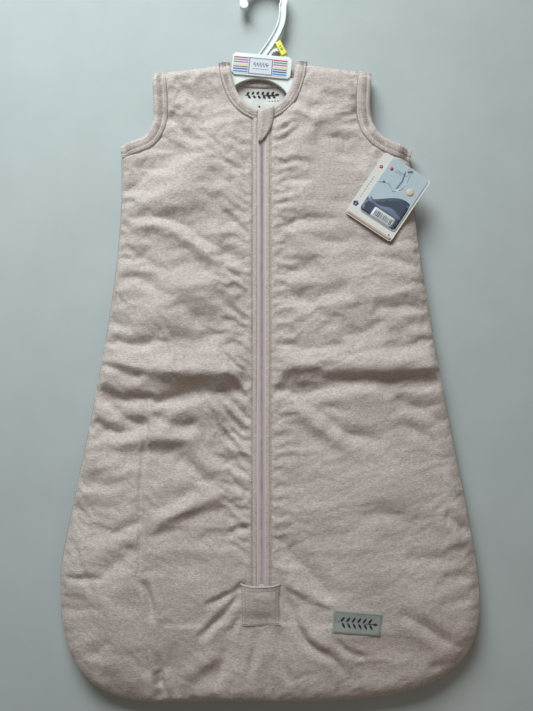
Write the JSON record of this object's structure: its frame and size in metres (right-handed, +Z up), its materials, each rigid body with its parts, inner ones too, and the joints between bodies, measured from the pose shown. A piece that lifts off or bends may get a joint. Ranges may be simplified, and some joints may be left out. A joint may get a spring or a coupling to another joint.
{
  "type": "baby sleeping bag",
  "caption": "Sleeveless quilted baby sleeping bag with a front zip, chin guard and zip garage, lying flat on its hanger with a swing tag.",
  "frame": {"origin": "middle of the bottom of the whole object's box, on the surface that the back panel lies on", "axes": "+Z up from the back panel through the front, +Y from the hem towards the neck and the hanger hook, +X to the right as seen from above"},
  "size_m": [0.4368, 0.772, 0.0318],
  "materials": {
    "outer_jersey": "heathered dusty pink jersey",
    "wadding": "white polyester wadding",
    "lining_jersey": "cream jersey",
    "seam": "overlocked seam allowance",
    "binding_rib": "folded rib with a coverstitch",
    "zip_tape": "mauve woven tape",
    "zip_coil": "mauve nylon coil",
    "zip_metal": "pale lacquer",
    "woven_label": "grey damask",
    "care_label": "white satin",
    "card": "coated card",
    "paper_sticker": "gloss paper",
    "tag_plastic": "clear nylon",
    "hanger_plastic": "frosted translucent polypropylene",
    "marker_plastic": "yellow"
  },
  "bodies": {
    "root": {"back_outer": "outer_jersey", "back_wadding": "wadding", "back_lining": "lining_jersey", "front_outer": "outer_jersey", "front_wadding": "wadding", "front_lining": "lining_jersey", "shoulder_seam_left": "seam", "shoulder_seam_right": "seam", "side_seam_left": "seam", "side_seam_right": "seam", "hem_seam": "seam", "neck_binding_back": "binding_rib", "armhole_binding_left": "binding_rib", "armhole_binding_right": "binding_rib", "zip_stops": "zip_metal", "zip_garage": "outer_jersey", "woven_label": "woven_label", "care_label": "care_label", "tag_fastener": "tag_plastic"},
    "left_edge": {"left_edge_outer": "outer_jersey", "left_edge_wadding": "wadding", "left_edge_lining": "lining_jersey", "neck_binding_left": "binding_rib", "zip_tape_left": "zip_tape", "zip_coil_left": "zip_coil", "zip_pin": "zip_metal"},
    "right_edge": {"right_edge_outer": "outer_jersey", "right_edge_wadding": "wadding", "right_edge_lining": "lining_jersey", "neck_binding_right": "binding_rib", "zip_tape_right": "zip_tape", "zip_coil_right": "zip_coil", "zip_box": "zip_metal"},
    "slider": {"zip_slider": "zip_metal"},
    "pull": {"zip_pull": "zip_metal"},
    "chin_flap": {"chin_guard": "outer_jersey"},
    "swing_tag": {"tag_back_card": "card", "tag_front_card": "card", "tag_bar_sticker": "paper_sticker"},
    "hanger_body": {"hanger": "hanger_plastic", "hanger_sticker": "paper_sticker", "size_marker": "marker_plastic"}
  },
  "joints": [
    {"name": "left_edge_fold", "type": "hinge", "parent": "root", "child": "left_edge", "pos_m": [-0.01, -0.285, 0.0262], "axis": [0.0593, -0.9982, 0], "range_deg": [0, 150], "deforming": ["zip_tape_left", "zip_coil_left", "chin_guard", "zip_garage"]},
    {"name": "right_edge_fold", "type": "hinge", "parent": "root", "child": "right_edge", "pos_m": [-0.01, -0.285, 0.0262], "axis": [0.0646, 0.9979, 0], "range_deg": [0, 150], "deforming": ["zip_tape_right", "zip_coil_right"]},
    {"name": "zip_slide", "type": "slide", "parent": "right_edge", "child": "slider", "axis": [0, 1, 0], "range_m": [0, 0.473]},
    {"name": "zip_pull_swing", "type": "hinge", "parent": "slider", "child": "pull", "pos_m": [-0.01, -0.2824, 0.0278], "axis": [1, 0, 0], "range_deg": [0, 175]},
    {"name": "chin_guard_flip", "type": "hinge", "parent": "right_edge", "child": "chin_flap", "pos_m": [0.0044, 0.232, 0.0272], "axis": [0, 1, 0], "range_deg": [0, 150]},
    {"name": "swing_tag_turn", "type": "hinge", "parent": "root", "child": "swing_tag", "pos_m": [0.146, 0.165, 0.0292], "axis": [0, 0, 1], "range_deg": [-60, 60]},
    {"name": "hanger_swing", "type": "hinge", "parent": "root", "child": "hanger_body", "pos_m": [-0.01, 0.285, 0.0125], "axis": [0, 0, 1], "range_deg": [-4, 6]}
  ]
}
